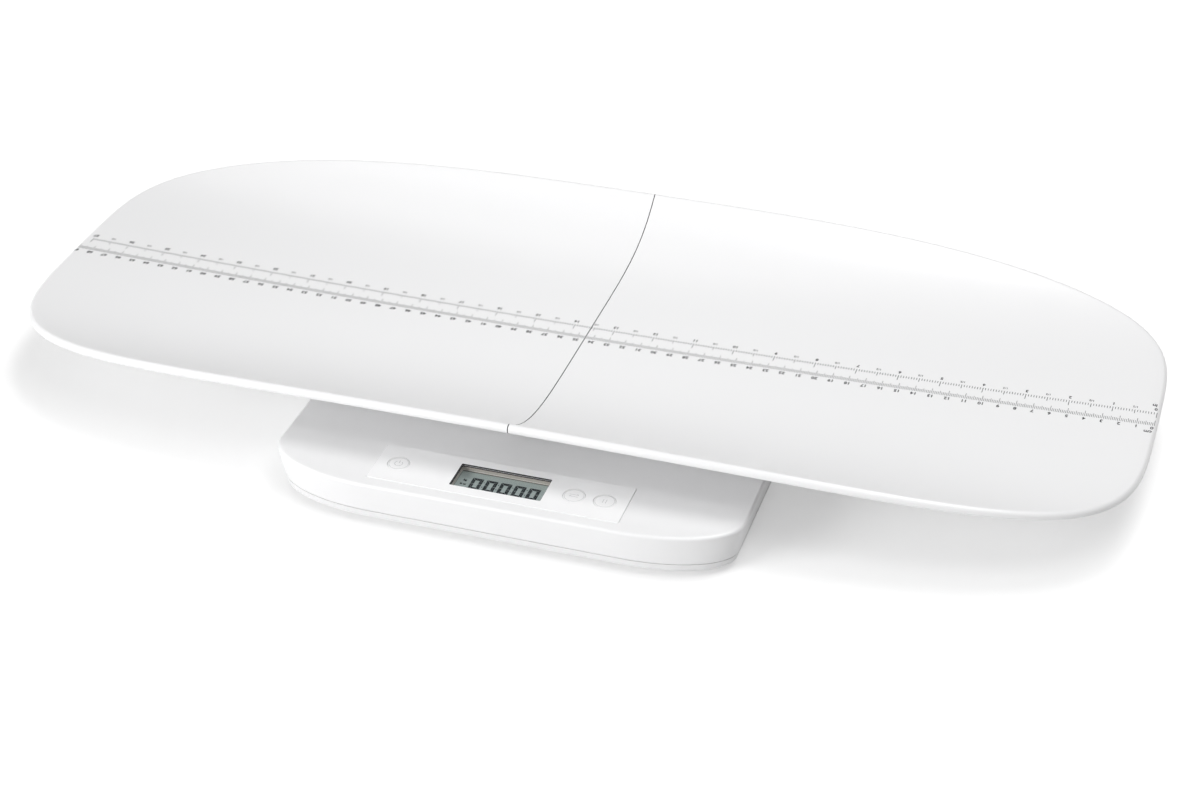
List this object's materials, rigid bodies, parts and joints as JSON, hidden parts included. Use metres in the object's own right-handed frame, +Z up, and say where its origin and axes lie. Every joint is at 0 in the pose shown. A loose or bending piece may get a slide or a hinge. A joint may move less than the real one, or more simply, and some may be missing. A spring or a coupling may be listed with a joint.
{
  "type": "digital baby weighing scale",
  "caption": "Digital baby weighing scale: a shallow split tray with a printed ruler lifts off a low base with an LCD window, push buttons and load-cell feet.",
  "frame": {"origin": "on the floor under the middle of the whole scale's bounding box", "axes": "+X along the tray, towards the ruler's zero, +Y away from the display side, +Z up"},
  "size_m": [0.6942, 0.3257, 0.0649],
  "materials": {
    "tray_plastic": "white moulded ABS, gloss, with printed grey ruler",
    "housing_plastic": "white moulded ABS, semi-gloss",
    "floor_plastic": "white moulded ABS, fine texture",
    "panel_overlay": "white gloss overlay",
    "button_cap": "white gloss caps with grey print",
    "display_lens": "clear window",
    "lcd_frame": "taupe moulded frame",
    "lcd_glass": "grey reflective liquid crystal glass",
    "connector_rubber": "black and clear layered rubber",
    "board": "green solder mask",
    "components": "black epoxy and cans",
    "switch_body": "black nylon",
    "screw_steel": "zinc-plated steel",
    "cell_steel": "nickel-plated spring steel",
    "retainer_plastic": "natural nylon",
    "foot_plastic": "light grey ABS",
    "pad_rubber": "grey non-slip rubber",
    "battery_case": "plain dark sleeve",
    "contact_metal": "nickel-plated strip",
    "lead_insulation": "PVC"
  },
  "bodies": {
    "base": {"base_upper_housing": "housing_plastic", "base_lower_housing": "floor_plastic", "control_panel": "panel_overlay", "display_lens": "display_lens", "lcd_frame": "lcd_frame", "lcd_glass": "lcd_glass", "zebra_strips": "connector_rubber", "circuit_board": "board", "board_components": "components", "tact_switches": "switch_body", "board_screws": "screw_steel", "housing_screws": "screw_steel", "retainer_screws": "screw_steel", "battery_cell_1": "battery_case", "battery_cell_2": "battery_case", "battery_cell_3": "battery_case", "battery_contact_plates": "contact_metal", "battery_contact_springs": "contact_metal", "load_cell_leads": "lead_insulation", "battery_leads": "lead_insulation", "load_cell_front_left": "cell_steel", "cell_retainer_front_left": "retainer_plastic", "foot_front_left": "foot_plastic", "foot_pad_front_left": "pad_rubber", "load_cell_front_right": "cell_steel", "cell_retainer_front_right": "retainer_plastic", "foot_front_right": "foot_plastic", "foot_pad_front_right": "pad_rubber", "load_cell_rear_left": "cell_steel", "cell_retainer_rear_left": "retainer_plastic", "foot_rear_left": "foot_plastic", "foot_pad_rear_left": "pad_rubber", "load_cell_rear_right": "cell_steel", "cell_retainer_rear_right": "retainer_plastic", "foot_rear_right": "foot_plastic", "foot_pad_rear_right": "pad_rubber"},
    "tray_left": {"tray_left": "tray_plastic"},
    "tray_right": {"tray_right": "tray_plastic"},
    "button_power": {"button_power": "button_cap"},
    "button_unit": {"button_unit": "button_cap"},
    "button_hold": {"button_hold": "button_cap"},
    "battery_door": {"battery_door": "floor_plastic"}
  },
  "joints": [
    {"name": "tray_left_lift", "type": "slide", "parent": "base", "child": "tray_left", "axis": [0, 0, 1], "range_m": [0, 0.06]},
    {"name": "tray_right_lift", "type": "slide", "parent": "base", "child": "tray_right", "axis": [0, 0, 1], "range_m": [0, 0.06]},
    {"name": "button_power_press", "type": "slide", "parent": "base", "child": "button_power", "axis": [0, 0, -1], "range_m": [0, 0.0005], "stiffness_N_per_m": 600, "springref_m": -0.0005},
    {"name": "button_unit_press", "type": "slide", "parent": "base", "child": "button_unit", "axis": [0, 0, -1], "range_m": [0, 0.0005], "stiffness_N_per_m": 600, "springref_m": -0.0005},
    {"name": "button_hold_press", "type": "slide", "parent": "base", "child": "button_hold", "axis": [0, 0, -1], "range_m": [0, 0.0005], "stiffness_N_per_m": 600, "springref_m": -0.0005},
    {"name": "battery_door_hinge", "type": "hinge", "parent": "base", "child": "battery_door", "pos_m": [0, 0.0228, 0.005], "axis": [-1, 0, 0], "range_deg": [0, 80]}
  ]
}
